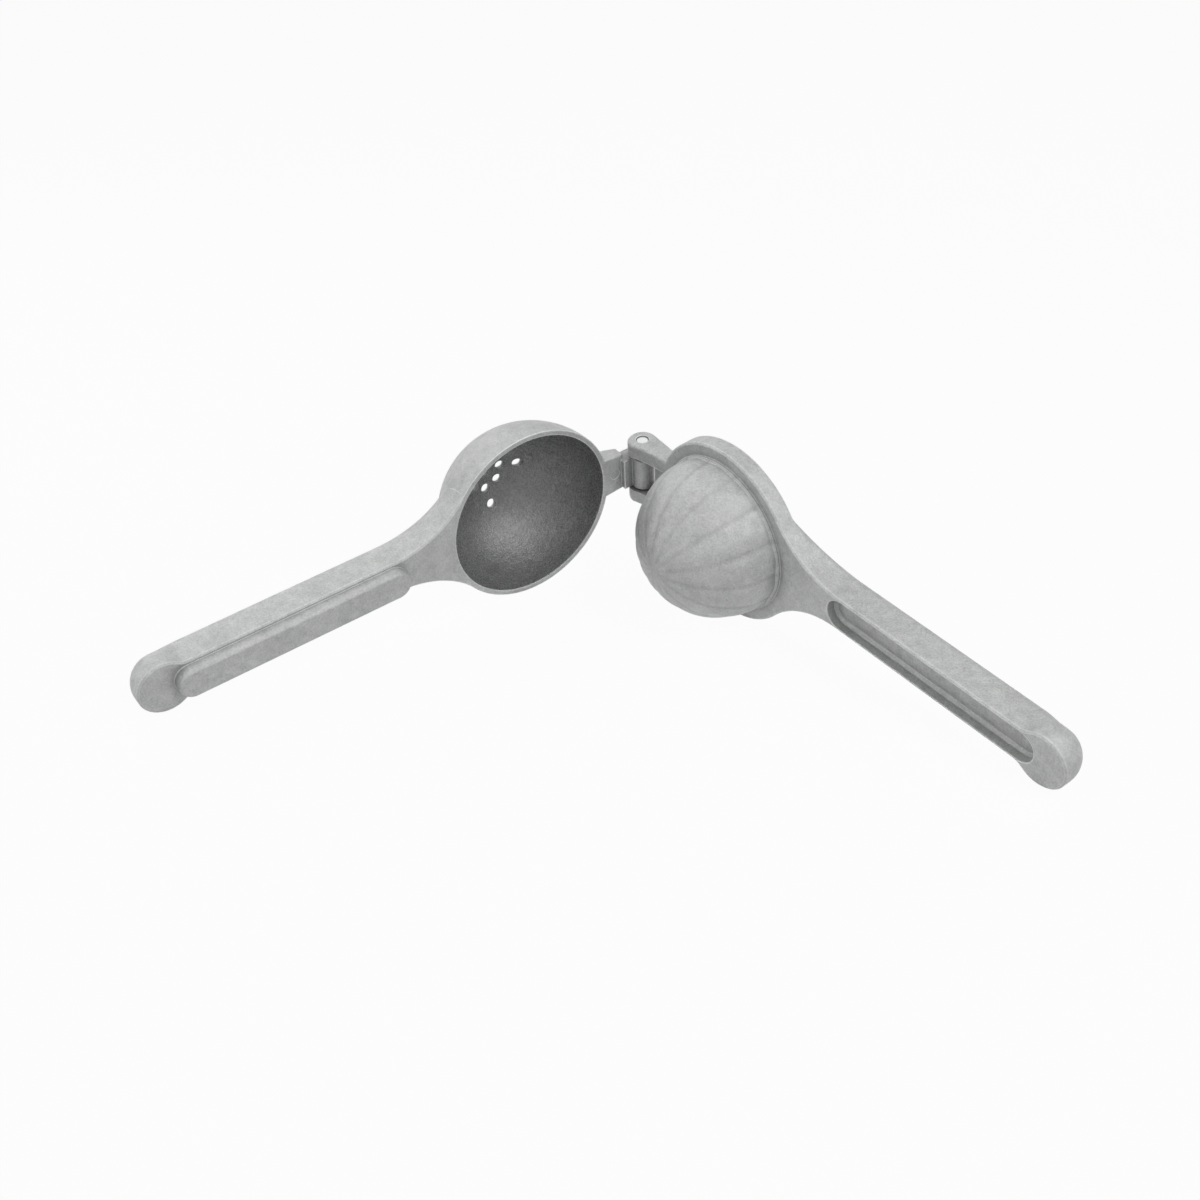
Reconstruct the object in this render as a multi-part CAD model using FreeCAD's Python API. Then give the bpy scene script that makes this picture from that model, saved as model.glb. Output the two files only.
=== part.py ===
"""Hinged lemon squeezer: two cast arms joined by one steel pin.

Each arm is drawn in its own frame: X runs from the pin along the handle, Y is
the inner side that faces the other arm when the tool is shut, Z is the pin.
The arms are then opened and laid on their sides, as the tool rests on a table.
"""
import FreeCAD
import Part
import math
import os

V = FreeCAD.Vector

# Driving dimensions, millimetres and degrees
open_angle = 92.0        # between the arms as the tool lies open
shut_gap = 0.7           # between the two inner faces when shut
cup_face = -3.2          # Y of the cup arm's inner face
press_face = -cup_face - shut_gap
head_centre = 45.0       # pin to the middle of the cup and of the dome
tip_centre = 179.2       # pin to the middle of the round handle end
head_inside = 52.0       # the neck's root, inside the head

cup_bore = 30.0          # inside radius of the hemispherical cup
cup_wall = 1.8
hole_radius = 1.75       # juice holes
hole_rings = ((0.0, 1, 0.0), (6.3, 7, 171.0), (12.3, 4, 179.0))

flange_radius = 32.3     # the press arm's ring
flange_thick = 6.2
dome_radius = 27.3
dome_rise = 29.7         # from the flange face to the dome's pole
dome_wall = 3.0
flute_count = 14
flute_depth = 0.45
flute_fade = 9.0         # the flutes die out within this radius of the pole
pole_radius = 1.6
seat_height = 1.2        # the plain band that the fluted dome stands on
seat_step = 0.5

handle_width = 12.6
handle_depth = 12.8
neck_sweep = 36.0        # radius of the concave arcs from head to handle
root_depth = 0.9         # the cup arm's neck where it leaves the bowl, as shares of its half width
root_back = 0.85
tip_radius = 9.3
tip_sweep = 6.0          # radius of the concave arcs from handle to tip
back_round = 3.0
face_chamfer = 0.6
block_round = 0.6

rib_width = 10.0
rib_height = 4.3
rib_start = 94.6
rib_end = 176.4
rib_round = 1.1
channel_play = 0.5       # all round the rib
channel_chamfer = 0.9

pin_radius = 2.25
pin_recess = 0.4
bore_play = 0.05
barrel_radius = 3.9
barrel_low = -6.8
barrel_high = 5.6
barrel_chamfer = 0.4
block_start = 6.2        # the tongue's thick block, from the pin
block_wide = 7.9         # half its height beside the cup
block_narrow = 7.1       # and beside the barrel
block_thick = 7.4
block_thin = 4.6
eject_place = 9.8        # round ejector-pin mark on the block
eject_radius = 1.9
eject_depth = 0.25

ear_radius = 5.2
ear_inner = 7.2
ear_outer = 12.4
ear_round = 1.3
ear_waist = 8.5          # where the ears' back dips between the pin and the ring
web_start = 6.6          # the bridge between the ears, from the pin


def solid_of(wire, direction):
    return Part.Face(wire).extrude(direction)


def polygon(points):
    return Part.makePolygon([V(*p) for p in points + points[:1]])


def handle_section(x, face, half, depth, back):
    """The handle's cross-section: flat face, straight sides and a rounded back."""
    back_y = face - depth + back
    front_y = face - face_chamfer
    front_z = half - face_chamfer
    back_z = half - back
    low = face - depth
    slant = back * math.sqrt(0.5)
    around = [(face, front_z), (front_y, half), (back_y, half), (low, back_z),
              (low, -back_z), (back_y, -half), (front_y, -half), (face, -front_z)]
    corners = [V(x, y, z) for y, z in around]
    edges = [Part.makeLine(corners[k - 1], corners[k]) for k in range(8)]
    for k, way in ((3, 1), (5, -1)):
        middle = V(x, back_y - slant, way * (back_z + slant))
        edges[k] = Part.Arc(corners[k - 1], middle, corners[k]).toShape()
    return Part.Wire(edges)


def waist(head_radius, sweep):
    """A concave arc from a round head to the straight handle: its reach and its join."""
    half = handle_width / 2
    reach = math.sqrt((head_radius + sweep) ** 2 - (half + sweep) ** 2)
    share = head_radius / (head_radius + sweep)
    return reach, reach * share, (half + sweep) * share


def half_width(gap, sweep):
    """Half the width of a concave arc, this far from the straight handle."""
    return handle_width / 2 + sweep - math.sqrt(sweep ** 2 - gap ** 2)


def handle(head_radius, face, first_depth, first_back):
    """The neck, the straight grip and the widened round tip."""
    half = handle_width / 2
    reach, joined, root = waist(head_radius, neck_sweep)
    neck_end = head_centre + reach

    def neck_section(x):
        wide = half_width(max(neck_end - x, 0), neck_sweep)
        share = (wide - half) / (root - half)
        depth = handle_depth + (first_depth - handle_depth) * share
        return handle_section(x, face, wide, depth, back_round + (first_back - back_round) * share)

    first = head_centre + joined
    steps = 7
    neck = [neck_section(first + (neck_end - first) * k / steps) for k in range(steps + 1)]
    base = solid_of(neck[0], V(head_inside - first, 0, 0))
    reach, joined, root = waist(tip_radius, tip_sweep)
    tip_start = tip_centre - reach
    grip = solid_of(neck_section(neck_end), V(tip_start - neck_end, 0, 0))
    ball = tip_radius - 0.2

    def tip_section(wide, x):
        share = (wide - half) / (tip_radius - half)
        return handle_section(x, face, wide, handle_depth, back_round + (ball - back_round) * share)

    tip = []
    for k in range(4):
        gap = (reach - joined) * k / 3
        tip.append(tip_section(half_width(gap, tip_sweep), tip_start + gap))
    for k in (1, 2, 3):
        gap = joined * (1 - k / 3)
        tip.append(tip_section(math.sqrt(tip_radius ** 2 - gap ** 2), tip_centre - gap))
    last = tip_section(tip_radius, tip_centre)
    side = Part.makeBox(1, 2 * handle_depth, tip_radius + 1, V(tip_centre - 0.5, face - 2 * handle_depth, 0))
    cap = Part.Face(last).common(side).Faces[0].revolve(V(tip_centre, 0, 0), V(0, 1, 0), 180)
    return [base, Part.makeLoft(neck, True, False), grip, Part.makeLoft(tip, True, False), cap]


def disc_bar(x0, x1, radius, y0, y1):
    """A bar with half-round ends, its flat sides square to Y."""
    def end(x, way):
        return Part.Arc(V(x, y0, way * radius), V(x + way * radius, y0, 0), V(x, y0, -way * radius))
    sides = [Part.makeLine(V(x0, y0, radius), V(x1, y0, radius)),
             Part.makeLine(V(x1, y0, -radius), V(x0, y0, -radius))]
    edges = [sides[0], end(x1, 1).toShape(), sides[1], end(x0, -1).toShape()]
    return solid_of(Part.Wire(edges), V(0, y1 - y0, 0))


def edges_at(solid, y):
    return [e for e in solid.Edges if abs(e.BoundBox.YMin - y) < 0.01 and abs(e.BoundBox.YMax - y) < 0.01]


def cup_arm():
    outer = cup_bore + cup_wall
    centre = V(head_centre, cup_face, 0)
    keep = Part.makeBox(100, 60, 100, V(head_centre - 50, cup_face - 60, -50))
    bowl = Part.makeSphere(outer, centre).common(keep)
    root = waist(outer, neck_sweep)[2]
    pieces = handle(outer, cup_face, root * root_depth, root * root_back)
    rib = disc_bar(rib_start + rib_width / 2, rib_end - rib_width / 2, rib_width / 2,
                   cup_face - 0.5, cup_face + rib_height)
    rib = rib.makeFillet(rib_round, edges_at(rib, cup_face + rib_height))
    arm = bowl.fuse(pieces + [tongue(), rib])
    arm = arm.cut(Part.makeSphere(cup_bore, centre))
    for radius, count, start in hole_rings:
        for k in range(count):
            turn = math.radians(start + 360.0 * k / count)
            place = V(head_centre + radius * math.cos(turn), cup_face, radius * math.sin(turn))
            arm = arm.cut(Part.makeCylinder(hole_radius, 40, place, V(0, -1, 0)))
    bore = Part.makeCylinder(pin_radius + bore_play, 30, V(0, 0, -15), V(0, 0, 1))
    return arm.cut(bore)


def tongue():
    """The block beside the cup and the barrel that turns on the pin."""
    reach = head_centre - cup_bore
    outline = polygon([(block_start, cup_face, -block_narrow), (reach, cup_face, -block_wide),
                       (reach, cup_face, block_wide), (block_start, cup_face, block_narrow)])
    slope = polygon([(block_start, cup_face, -20), (reach, cup_face, -20),
                     (reach, cup_face - block_thick, -20), (block_start, cup_face - block_thin, -20)])
    block = solid_of(outline, V(0, -block_thick, 0)).common(solid_of(slope, V(0, 0, 40)))
    soft = [e for e in block.Edges if e.BoundBox.XMin < reach - 0.1]
    block = block.makeFillet(block_round, soft)
    mark = Part.makeCylinder(eject_radius, eject_depth + 1, V(eject_place, cup_face - eject_depth, 0), V(0, 1, 0))
    block = block.cut(mark)
    height = barrel_high - barrel_low
    back = cup_face - block_thin + block_round
    neck = Part.makeBox(block_start + 1, -1.2 - back, height - 2 * barrel_chamfer,
                        V(0, back, barrel_low + barrel_chamfer))
    barrel = Part.makeCylinder(barrel_radius, height, V(0, 0, barrel_low), V(0, 0, 1))
    rims = [e for e in barrel.Edges if e.BoundBox.ZLength < 0.01]
    return block.fuse([neck, barrel.makeChamfer(barrel_chamfer, rims)])


def lobed_ring(y, radius):
    """One level of the fluted dome: an arc for each lobe, from valley to valley."""
    valley = radius - flute_depth * min(1.0, radius / flute_fade)
    step = 2 * math.pi / flute_count

    def at(r, k):
        return V(head_centre + r * math.cos(step * k), y, r * math.sin(step * k))
    return Part.Wire([Part.Arc(at(valley, k), at(radius, k + 0.5), at(valley, k + 1)).toShape()
                      for k in range(flute_count)])


def fluted_dome():
    straight = dome_rise - dome_radius
    middle = press_face + straight
    levels = [lobed_ring(press_face - 0.5, dome_radius)]
    last = math.acos(pole_radius / dome_radius)
    rings = 9
    for k in range(rings):
        turn = last * k / (rings - 1)
        levels.append(lobed_ring(middle + dome_radius * math.sin(turn), dome_radius * math.cos(turn)))
    return Part.makeLoft(levels, True, False)


def press_arm():
    base = press_face - flange_thick
    ring = Part.makeCylinder(flange_radius, flange_thick, V(head_centre, base, 0), V(0, 1, 0))
    ring = ring.makeChamfer(face_chamfer, edges_at(ring, base) + edges_at(ring, press_face))
    seat = Part.makeCylinder(dome_radius + seat_step, seat_height + 1, V(head_centre, press_face - 1, 0),
                             V(0, 1, 0))
    seat = seat.makeChamfer(seat_step, edges_at(seat, press_face + seat_height))
    pieces = handle(flange_radius, press_face, flange_thick, back_round * 0.8)
    arm = ring.fuse([seat, fluted_dome(), clevis()] + pieces)
    hollow = dome_radius - dome_wall
    middle = press_face + dome_rise - dome_radius
    arm = arm.cut(Part.makeCylinder(hollow, middle - base, V(head_centre, base, 0), V(0, 1, 0)))
    arm = arm.cut(Part.makeSphere(hollow, V(head_centre, middle, 0)))
    depth = rib_height - shut_gap + channel_play
    wide = rib_width / 2 + channel_play
    channel = disc_bar(rib_start + rib_width / 2, rib_end - rib_width / 2, wide,
                       press_face - depth, press_face + 5)
    channel = channel.makeChamfer(channel_chamfer, edges_at(channel, press_face - depth))
    bore = Part.makeCylinder(pin_radius, 40, V(0, 0, -20), V(0, 0, 1))
    return arm.cut(channel).cut(bore)


def clevis():
    """Two round ears on the pin and the web that ties them to the ring."""
    reach = head_centre - dome_radius + 1
    low = press_face - flange_thick
    web_face = 0.0
    top = Part.Wire([Part.Arc(V(0, ear_radius, 0), V(-ear_radius, 0, 0), V(0, -ear_radius, 0)).toShape(),
                     Part.makeLine(V(0, -ear_radius, 0), V(reach, low, 0)),
                     Part.makeLine(V(reach, low, 0), V(reach, press_face, 0)),
                     Part.Arc(V(reach, press_face, 0), V(ear_waist, press_face + 0.6, 0),
                              V(0, ear_radius, 0)).toShape()])
    body = solid_of(top, V(0, 0, 2 * ear_outer))
    body.translate(V(0, 0, -ear_outer))
    ends = [e for e in body.Edges if e.BoundBox.ZLength < 0.01 and e.BoundBox.XMin < reach - 1]
    body = body.makeFillet(ear_round, ends)
    slot = Part.makeBox(20 + web_start, 20, 2 * ear_inner, V(-20, -10, -ear_inner))
    slope = polygon([(web_start - 1, web_face, -ear_inner), (reach, press_face, -ear_inner),
                     (reach, 12, -ear_inner), (web_start - 1, 12, -ear_inner)])
    return body.cut(slot).cut(solid_of(slope, V(0, 0, 2 * ear_inner)))


def hinge_pin():
    length = 2 * (ear_outer - pin_recess)
    pin = Part.makeCylinder(pin_radius, length, V(0, 0, -length / 2), V(0, 0, 1))
    return pin.makeChamfer(0.35, [e for e in pin.Edges if e.BoundBox.ZLength < 0.01])


def arm_axes(angle):
    """Handle direction and inner normal in the pin's frame."""
    turn = math.radians(angle)
    return (V(-1, 0, 0), V(0, -1, 0),
            V(-math.cos(turn), -math.sin(turn), 0), V(-math.sin(turn), math.cos(turn), 0))


def resting_up():
    """The upward direction when both tips and the lower head touch a table."""
    x1, n1, x2, n2 = arm_axes(open_angle)
    spots = [(tip_centre * x1 + cup_face * n1, n1, tip_radius),
             (tip_centre * x2 + press_face * n2, n2, tip_radius),
             (head_centre * x1 + cup_face * n1, n1, cup_bore + cup_wall)]
    up = V(0, 0, 1)
    for _ in range(30):
        heights = [r * math.sqrt(1 - up.dot(n) ** 2) for p, n, r in spots]
        feet = [spots[i][0] - up * heights[i] for i in range(3)]
        up = (feet[1] - feet[0]).cross(feet[2] - feet[0])
        up.normalize()
        if up.z < 0:
            up = up * -1
    return up


def matrix_of(x, y, z):
    m = FreeCAD.Matrix()
    m.A11, m.A21, m.A31 = x.x, x.y, x.z
    m.A12, m.A22, m.A32 = y.x, y.y, y.z
    m.A13, m.A23, m.A33 = z.x, z.y, z.z
    return m


x1, n1, x2, n2 = arm_axes(open_angle)
up = resting_up()
front = x1 + x2
front = front - up * front.dot(up)
front.normalize()
world_y = front * -1
world_x = world_y.cross(up)
to_world = matrix_of(world_x, world_y, up).inverse()

pieces = {"cup_arm": (cup_arm(), matrix_of(x1, n1, V(0, 0, 1))),
          "press_arm": (press_arm(), matrix_of(x2, n2, V(0, 0, -1))),
          "hinge_pin": (hinge_pin(), FreeCAD.Matrix())}
placed = {}
for name, (shape, local) in pieces.items():
    shape = shape.copy()
    shape.transformShape(to_world * local, True)
    placed[name] = shape

box = Part.makeCompound(list(placed.values())).optimalBoundingBox(True, False)
shift = V(-(box.XMin + box.XMax) / 2, -(box.YMin + box.YMax) / 2, -box.ZMin)
os.makedirs("parts", exist_ok=True)
for name, shape in placed.items():
    shape.translate(shift)
    if shape.ShapeType == "Compound" and len(shape.Solids) == 1:
        shape = shape.Solids[0]
    print(name, shape.ShapeType, shape.isValid(), len(shape.Solids), round(shape.Volume), len(shape.Faces))
    shape.exportStep("parts/" + name + ".step")
print("pin at", [round(c, 4) for c in shift], "axis", [round(c, 5) for c in to_world.multVec(V(0, 0, 1))])
print("size", round(box.XLength, 2), round(box.YLength, 2), round(box.ZLength, 2))
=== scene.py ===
import math
import bpy
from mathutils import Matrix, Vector

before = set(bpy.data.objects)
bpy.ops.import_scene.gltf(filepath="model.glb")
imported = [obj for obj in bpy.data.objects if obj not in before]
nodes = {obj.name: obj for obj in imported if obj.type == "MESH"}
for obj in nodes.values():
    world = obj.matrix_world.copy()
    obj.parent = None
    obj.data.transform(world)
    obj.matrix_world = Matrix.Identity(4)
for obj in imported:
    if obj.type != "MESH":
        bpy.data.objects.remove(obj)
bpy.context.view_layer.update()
scene = bpy.context.scene

# Camera, from a fit of the tool's main circles and edges to the picture
CAMERA_PLACE = (0.063064, -0.446578, 0.261201)
CAMERA_TURN = (61.7838, 0.3643, 8.4051)
LENS = 47.64
SENSOR = 36.0
NEAR = 0.01

# The cast metal's own tone and how far speckle, mottling and patches move it
CAST = (0.655, 0.667, 0.66)
NOISE_RANGE = (0.3, 0.7)
NOISE_DETAIL = 4.0
NOISE_ROUGH = 0.55
PATCH_SCALE = 70.0
PATCH_SHARE = 0.05
MOTTLE_SCALE = 320.0
MOTTLE_SHARE = 0.1
SPECKLE_SCALE = 1500.0
SPECKLE_SHARE = 0.2
SPECKLE_DETAIL = 5.0
SPECKLE_ROUGH = 0.7

# Edges are paler, partly from wear and partly as a painted highlight, creases get painted shade, and
# small pits are scattered over both castings
EDGE_WEAR_AND_HIGHLIGHT = 4.0
CREASE_REACH = 0.004
CREASE_SHADE_TONE = 0.42
CREASE_SPAN = (0.3, 0.9)
CREASE_SAMPLES = 8
ROUGH = (0.40, 0.60)
METALLIC = 0.3
BEVEL = 0.0009
BEVEL_SAMPLES = 8
GRAIN_BUMP = 0.5
GRAIN_DEPTH = 0.0001
DENT_BUMP = 0.2
DENT_DEPTH = 0.0003
PIT_SCALE = 260.0
PIT_SIZE = 0.09
PIT_TONE = 0.8

STEEL = (0.78, 0.79, 0.79)
STEEL_SCALE = 900.0
STEEL_ROUGH = (0.22, 0.36)

# The cup's inside is darker than the outside
CUP_MIDDLE = (-0.032613, 0.032591, 0.032441)
CUP_OUT = (0.694653, -0.699952, -0.165905)
CUP_BORE = 0.03006
HOLE_WALL = 0.0014       # the juice holes' walls are dark too, this far out from the bore
BELOW_RIM = -0.001       # but only this far inward of the mouth, so that the rim stays pale
INSIDE_TONE = 0.5
INSIDE_ROUGH = 0.55       # as a share of the outside roughness
INSIDE_METAL = 0.3

# Painted shade darkens the valleys of the dome's flutes
DOME_MIDDLE = (0.030946, 0.026870, 0.031311)
DOME_OUT = (-0.694653, -0.698718, -0.171026)
DOME_ALONG = (0.719335, -0.675979, -0.160034)
DOME_ACROSS = (0.003792, 0.234193, -0.972183)
DOME_SKIN = 0.0268        # the skin's distance from that middle
DOME_BAND = 0.0014        # and how far it strays, short of the hollow behind it
FLUTES = 14
FLUTE_SHADE = 0.15
FLUTE_WIDTH = 0.0013

FLOOR = (0.8, 0.8, 0.8)
FLOOR_SIZE = 6.0
FLOOR_ROUGH = 0.9
FLOOR_WHITE = 0.96
WORLD = 0.03
AIM = (0.0, 0.0, 0.02)
# The rays that see the white ground: the camera's, and those mirrored or let through
SHOWN = ("Is Camera Ray", "Is Glossy Ray", "Is Transmission Ray")
# Each lamp's place, size and power
LAMPS = {
    "key": ((0.85, -0.55, 1.15), 0.6, 7.5),
    "top front": ((-0.3, -0.7, 0.9), 0.6, 0.6),
    "left back": ((-0.45, 0.35, 0.5), 0.4, 0.85),
    "left front": ((-0.9, -0.5, 0.35), 0.6, 1.75),
    "overhead": ((0.0, 0.2, 1.2), 1.0, 0.6),
}


def new_material(name):
    mat = bpy.data.materials.new(name)
    mat.use_nodes = True
    tree = mat.node_tree
    return mat, tree, tree.nodes["Principled BSDF"]


def noise(tree, place, scale, detail=NOISE_DETAIL, rough=NOISE_ROUGH):
    node = tree.nodes.new("ShaderNodeTexNoise")
    node.inputs["Scale"].default_value = scale
    node.inputs["Detail"].default_value = detail
    node.inputs["Roughness"].default_value = rough
    tree.links.new(place, node.inputs["Vector"])
    return node.outputs["Fac"]


def spread(tree, value, low, high, from_low=NOISE_RANGE[0], from_high=NOISE_RANGE[1]):
    """A value's range carried over to the range from low to high."""
    node = tree.nodes.new("ShaderNodeMapRange")
    node.inputs["From Min"].default_value = from_low
    node.inputs["From Max"].default_value = from_high
    node.inputs["To Min"].default_value = low
    node.inputs["To Max"].default_value = high
    tree.links.new(value, node.inputs["Value"])
    return node.outputs["Result"]


def joined(tree, kind, operation, first, second=None):
    """One math node on one or two values, each a socket, a number or a vector."""
    node = tree.nodes.new("ShaderNodeVectorMath" if kind == "vector" else "ShaderNodeMath")
    node.operation = operation
    for slot, value in enumerate((first, second)):
        if value is None:
            continue
        if hasattr(value, "links"):
            tree.links.new(value, node.inputs[slot])
        else:
            node.inputs[slot].default_value = value
    whole = kind == "vector" and operation in ("ADD", "SUBTRACT")
    return node.outputs["Vector" if whole else "Value"]


def painted_flute_shade(tree, place):
    """The painted shade of the dome's flute valleys: 1 away from them and off the dome."""
    out = joined(tree, "vector", "SUBTRACT", place, DOME_MIDDLE)
    along = joined(tree, "vector", "DOT_PRODUCT", out, DOME_ALONG)
    across = joined(tree, "vector", "DOT_PRODUCT", out, DOME_ACROSS)
    turn = joined(tree, "number", "ARCTAN2", across, along)
    wave = joined(tree, "number", "PINGPONG", turn, math.pi / FLUTES)
    level = joined(tree, "vector", "DOT_PRODUCT", out, DOME_OUT)
    outward = joined(tree, "vector", "LENGTH", out)
    whole = joined(tree, "number", "POWER", outward, 2.0)
    square = joined(tree, "number", "SUBTRACT", whole, joined(tree, "number", "POWER", level, 2.0))
    radius = joined(tree, "number", "SQRT", square)
    off = joined(tree, "number", "MULTIPLY", wave, radius)
    shade = spread(tree, off, FLUTE_SHADE, 0.0, 0.0, FLUTE_WIDTH)
    on_dome = joined(tree, "number", "COMPARE", outward, DOME_SKIN)
    on_dome.node.inputs[2].default_value = DOME_BAND
    return joined(tree, "number", "SUBTRACT", 1.0, joined(tree, "number", "MULTIPLY", shade, on_dome))


def cast_metal(name):
    """Tumbled cast aluminium: speckled grey, paler edges from wear and a painted highlight, painted
    shade in creases and flute valleys, and a darker cup inside.
    """
    mat, tree, shader = new_material(name)
    place = tree.nodes.new("ShaderNodeTexCoord").outputs["Object"]
    patches = spread(tree, noise(tree, place, PATCH_SCALE), -1.0, 1.0)
    mottle = spread(tree, noise(tree, place, MOTTLE_SCALE), -1.0, 1.0)
    fine = noise(tree, place, SPECKLE_SCALE, SPECKLE_DETAIL, SPECKLE_ROUGH)
    speckle = spread(tree, fine, -1.0, 1.0)
    tone = joined(tree, "number", "MULTIPLY_ADD", patches, PATCH_SHARE)
    tone.node.inputs[2].default_value = 1.0
    for value, share in ((mottle, MOTTLE_SHARE), (speckle, SPECKLE_SHARE)):
        tone = joined(tree, "number", "ADD", tone, joined(tree, "number", "MULTIPLY", value, share))
    # Paler edges: partly wear, partly a painted highlight standing in for the light that edges catch
    edge = tree.nodes.new("ShaderNodeBevel")
    edge.samples = BEVEL_SAMPLES
    edge.inputs["Radius"].default_value = BEVEL
    flat = tree.nodes.new("ShaderNodeNewGeometry").outputs["Normal"]
    same = joined(tree, "vector", "DOT_PRODUCT", edge.outputs["Normal"], flat)
    bend = joined(tree, "number", "SUBTRACT", 1.0, same)
    tone = joined(tree, "number", "ADD", tone, joined(tree, "number", "MULTIPLY", bend, EDGE_WEAR_AND_HIGHLIGHT))
    # Painted shade: creases, grooves and recesses are darkened in the colour where little light reaches
    # them
    crease = tree.nodes.new("ShaderNodeAmbientOcclusion")
    crease.samples = CREASE_SAMPLES
    crease.inputs["Distance"].default_value = CREASE_REACH
    crease_shade = spread(tree, crease.outputs["AO"], CREASE_SHADE_TONE, 1.0, *CREASE_SPAN)
    tone = joined(tree, "number", "MULTIPLY", tone, crease_shade)
    pit = tree.nodes.new("ShaderNodeTexVoronoi")
    pit.inputs["Scale"].default_value = PIT_SCALE
    tree.links.new(place, pit.inputs["Vector"])
    pitted = spread(tree, pit.outputs["Distance"], PIT_TONE, 1.0, 0.0, PIT_SIZE)
    tone = joined(tree, "number", "MULTIPLY", tone, pitted)
    away = joined(tree, "vector", "DISTANCE", place, CUP_MIDDLE)
    from_cup = joined(tree, "vector", "SUBTRACT", place, CUP_MIDDLE)
    height = joined(tree, "vector", "DOT_PRODUCT", from_cup, CUP_OUT)
    sunk = joined(tree, "number", "LESS_THAN", height, BELOW_RIM)
    reach = joined(tree, "number", "ADD", joined(tree, "number", "MULTIPLY", sunk, HOLE_WALL), CUP_BORE)
    inside = joined(tree, "number", "LESS_THAN", away, reach)
    # Painted shade in the dome's flute valleys
    tone = joined(tree, "number", "MULTIPLY", tone, painted_flute_shade(tree, place))
    tone = joined(tree, "number", "MULTIPLY", tone, spread(tree, inside, 1.0, INSIDE_TONE, 0.0, 1.0))
    tint = tree.nodes.new("ShaderNodeVectorMath")
    tint.operation = "SCALE"
    tint.inputs[0].default_value = CAST
    tree.links.new(tone, tint.inputs["Scale"])
    tree.links.new(tint.outputs[0], shader.inputs["Base Color"])
    tree.links.new(spread(tree, inside, METALLIC, INSIDE_METAL, 0.0, 1.0), shader.inputs["Metallic"])
    rough = spread(tree, speckle, ROUGH[0], ROUGH[1], -1.0, 1.0)
    rough = joined(tree, "number", "MULTIPLY", rough, spread(tree, inside, 1.0, INSIDE_ROUGH, 0.0, 1.0))
    tree.links.new(rough, shader.inputs["Roughness"])
    grain = tree.nodes.new("ShaderNodeBump")
    grain.inputs["Strength"].default_value = GRAIN_BUMP
    grain.inputs["Distance"].default_value = GRAIN_DEPTH
    tree.links.new(speckle, grain.inputs["Height"])
    tree.links.new(edge.outputs["Normal"], grain.inputs["Normal"])
    dent = tree.nodes.new("ShaderNodeBump")
    dent.inputs["Strength"].default_value = DENT_BUMP
    dent.inputs["Distance"].default_value = DENT_DEPTH
    tree.links.new(mottle, dent.inputs["Height"])
    tree.links.new(grain.outputs["Normal"], dent.inputs["Normal"])
    tree.links.new(dent.outputs["Normal"], shader.inputs["Normal"])
    return mat


def steel(name):
    mat, tree, shader = new_material(name)
    place = tree.nodes.new("ShaderNodeTexCoord").outputs["Object"]
    grain = noise(tree, place, STEEL_SCALE)
    shader.inputs["Base Color"].default_value = STEEL + (1.0,)
    shader.inputs["Metallic"].default_value = 1.0
    tree.links.new(spread(tree, grain, *STEEL_ROUGH), shader.inputs["Roughness"])
    return mat


def dress(node, mat):
    piece = nodes[node]
    piece.data.materials.clear()
    piece.data.materials.append(mat)


cast = cast_metal("cast aluminium")
dress("cup_arm", cast)
dress("press_arm", cast)
dress("hinge_pin", steel("pin steel"))


def light_path(tree, *kinds):
    """1 for the kinds of ray named, 0 for the rest."""
    path = tree.nodes.new("ShaderNodeLightPath")
    value = path.outputs[kinds[0]]
    for kind in kinds[1:]:
        either = tree.nodes.new("ShaderNodeMath")
        either.operation = "MAXIMUM"
        tree.links.new(value, either.inputs[0])
        tree.links.new(path.outputs[kind], either.inputs[1])
        value = either.outputs[0]
    return value


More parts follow.
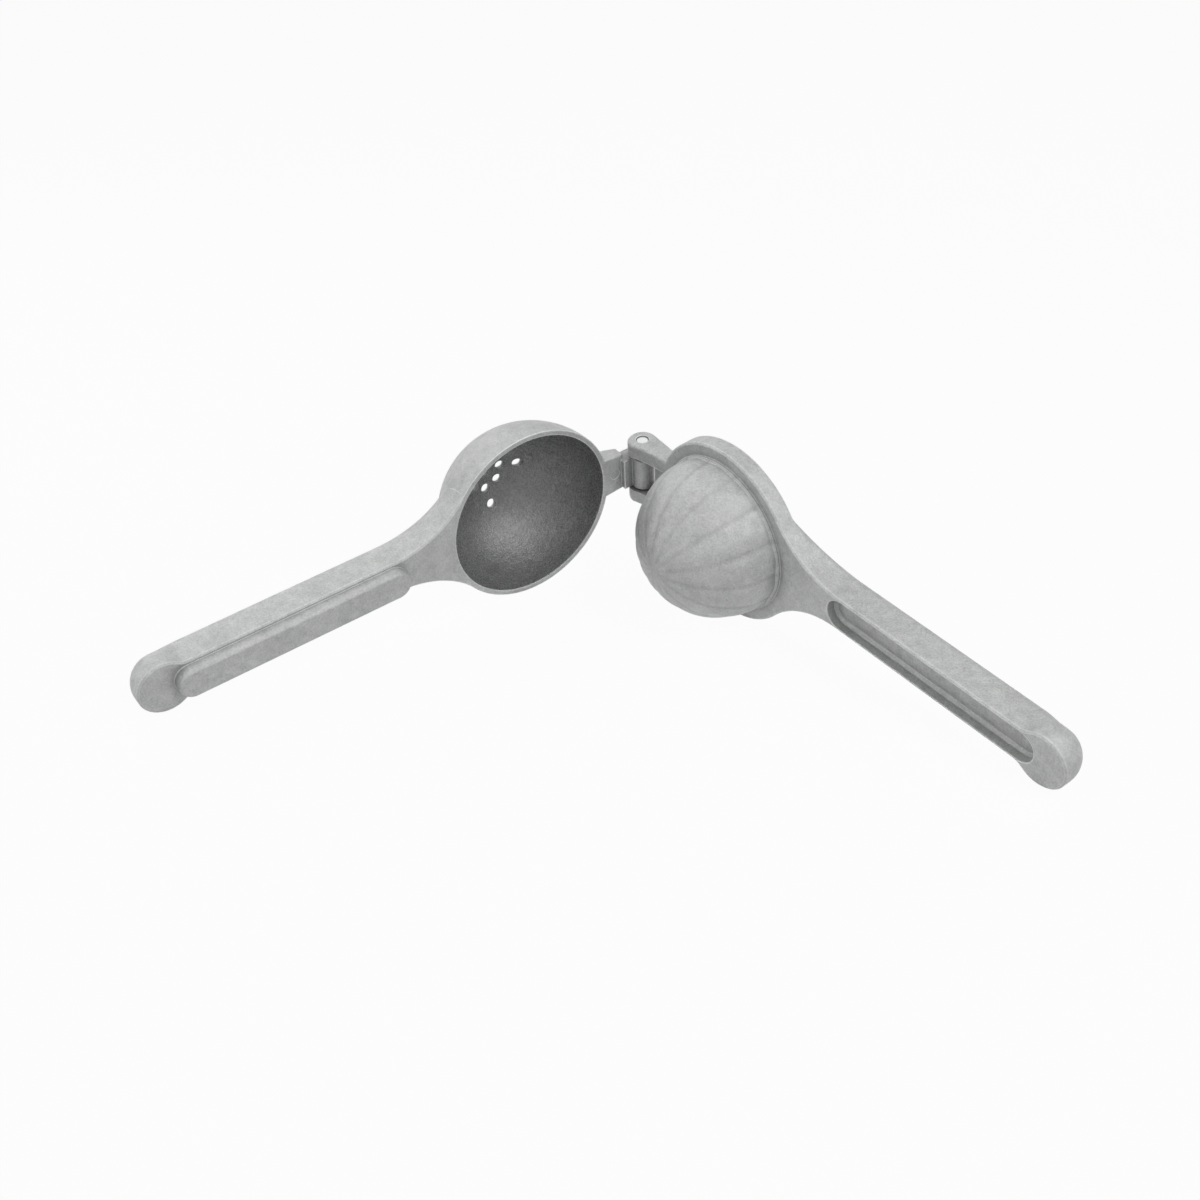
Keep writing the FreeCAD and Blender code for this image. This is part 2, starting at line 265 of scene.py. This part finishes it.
def white_ground():
    """A pale floor that takes a soft shadow and shows white to the camera and in the metal."""
    bpy.ops.mesh.primitive_plane_add(size=FLOOR_SIZE)
    floor = bpy.context.object
    floor.name = "floor"
    mat, tree, shader = new_material("floor white")
    shader.inputs["Base Color"].default_value = FLOOR + (1.0,)
    shader.inputs["Roughness"].default_value = FLOOR_ROUGH
    shader.inputs["Specular IOR Level"].default_value = 0.0
    glow = tree.nodes.new("ShaderNodeEmission")
    glow.inputs["Strength"].default_value = 1.0
    share = tree.nodes.new("ShaderNodeMath")
    share.operation = "MULTIPLY"
    share.inputs[1].default_value = FLOOR_WHITE
    tree.links.new(light_path(tree, *SHOWN), share.inputs[0])
    mix = tree.nodes.new("ShaderNodeMixShader")
    tree.links.new(share.outputs[0], mix.inputs["Fac"])
    tree.links.new(shader.outputs["BSDF"], mix.inputs[1])
    tree.links.new(glow.outputs["Emission"], mix.inputs[2])
    tree.links.new(mix.outputs["Shader"], tree.nodes["Material Output"].inputs["Surface"])
    floor.data.materials.append(mat)


def world_light():
    world = bpy.data.worlds.new("studio")
    scene.world = world
    world.use_nodes = True
    tree = world.node_tree
    back = tree.nodes["Background"]
    back.inputs["Strength"].default_value = WORLD
    back.inputs["Color"].default_value = (1.0, 1.0, 1.0, 1.0)
    seen = tree.nodes.new("ShaderNodeBackground")
    seen.inputs["Color"].default_value = (1.0, 1.0, 1.0, 1.0)
    mix = tree.nodes.new("ShaderNodeMixShader")
    tree.links.new(light_path(tree, *SHOWN), mix.inputs["Fac"])
    tree.links.new(back.outputs["Background"], mix.inputs[1])
    tree.links.new(seen.outputs["Background"], mix.inputs[2])
    tree.links.new(mix.outputs["Shader"], tree.nodes["World Output"].inputs["Surface"])


def softbox(name, place, target, size, watts):
    lamp = bpy.data.lights.new(name, "AREA")
    lamp.shape = "DISK"
    lamp.size = size
    lamp.energy = watts
    holder = bpy.data.objects.new(name, lamp)
    holder.location = place
    holder.rotation_euler = (Vector(target) - Vector(place)).to_track_quat("-Z", "Y").to_euler()
    scene.collection.objects.link(holder)


white_ground()
world_light()
for name, (place, size, watts) in LAMPS.items():
    softbox(name, place, AIM, size, watts)

lens = bpy.data.cameras.new("camera")
lens.lens = LENS
lens.sensor_width = SENSOR
lens.clip_start = NEAR
camera = bpy.data.objects.new("camera", lens)
camera.location = CAMERA_PLACE
camera.rotation_euler = [math.radians(a) for a in CAMERA_TURN]
scene.collection.objects.link(camera)
scene.camera = camera
scene.view_settings.view_transform = "Standard"
